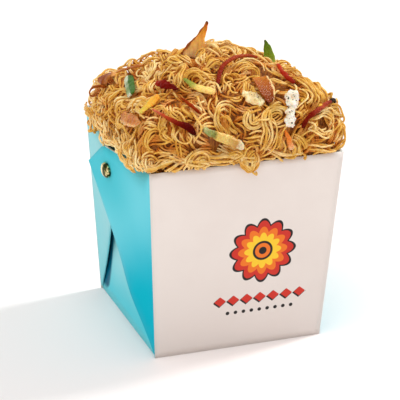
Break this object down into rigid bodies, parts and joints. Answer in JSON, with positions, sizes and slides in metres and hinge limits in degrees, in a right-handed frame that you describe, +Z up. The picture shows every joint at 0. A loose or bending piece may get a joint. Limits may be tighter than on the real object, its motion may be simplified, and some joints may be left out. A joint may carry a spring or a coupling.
{
  "type": "noodle takeaway box",
  "caption": "Open folded-card food pail with tapered sides, pinned corner webs and a tall heap of fried thin noodles with scattered vegetables.",
  "frame": {"origin": "middle of the carton's base, on the surface it stands on", "axes": "+Z up out of the open top; +X along the front printed panel; +Y from the front panel to the back panel"},
  "size_m": [0.1162, 0.1072, 0.1545],
  "materials": {
    "card": "smooth coated card, turquoise sides, cream front and back",
    "stud": "polished",
    "noodle": "lightly oiled fried glass noodle",
    "crisp_shallot": "fried, oily, dark tipped",
    "brown_peel": "fried, thin, oily",
    "spring_onion": "cooked, wet",
    "red_onion": "cooked, glossy",
    "gold_pepper": "cooked, glossy",
    "red_pepper": "cooked, glossy",
    "egg_white": "soft, peppered"
  },
  "bodies": {
    "root": {"carton": "card", "stud_left": "stud", "stud_right": "stud", "noodle_heap": "noodle", "shallot_shard": "crisp_shallot", "shallot_tail": "crisp_shallot", "brown_curl": "brown_peel", "brown_ribbon": "brown_peel", "spring_onion_chunk": "spring_onion", "red_onion_bit": "red_onion", "gold_strip_left": "gold_pepper", "green_tipped_strip": "gold_pepper", "red_onion_arc": "red_onion", "green_wedge": "spring_onion", "chilli_strip": "red_pepper", "shallot_petal": "brown_peel", "white_piece_upper": "egg_white", "white_piece_lower": "egg_white", "pale_piece": "egg_white", "curled_red_onion": "red_onion", "red_onion_left": "red_onion", "chilli_thread": "red_pepper", "brown_petal_left": "brown_peel", "pepper_strip": "gold_pepper", "chilli_strip_right": "red_pepper"}
  },
  "joints": []
}
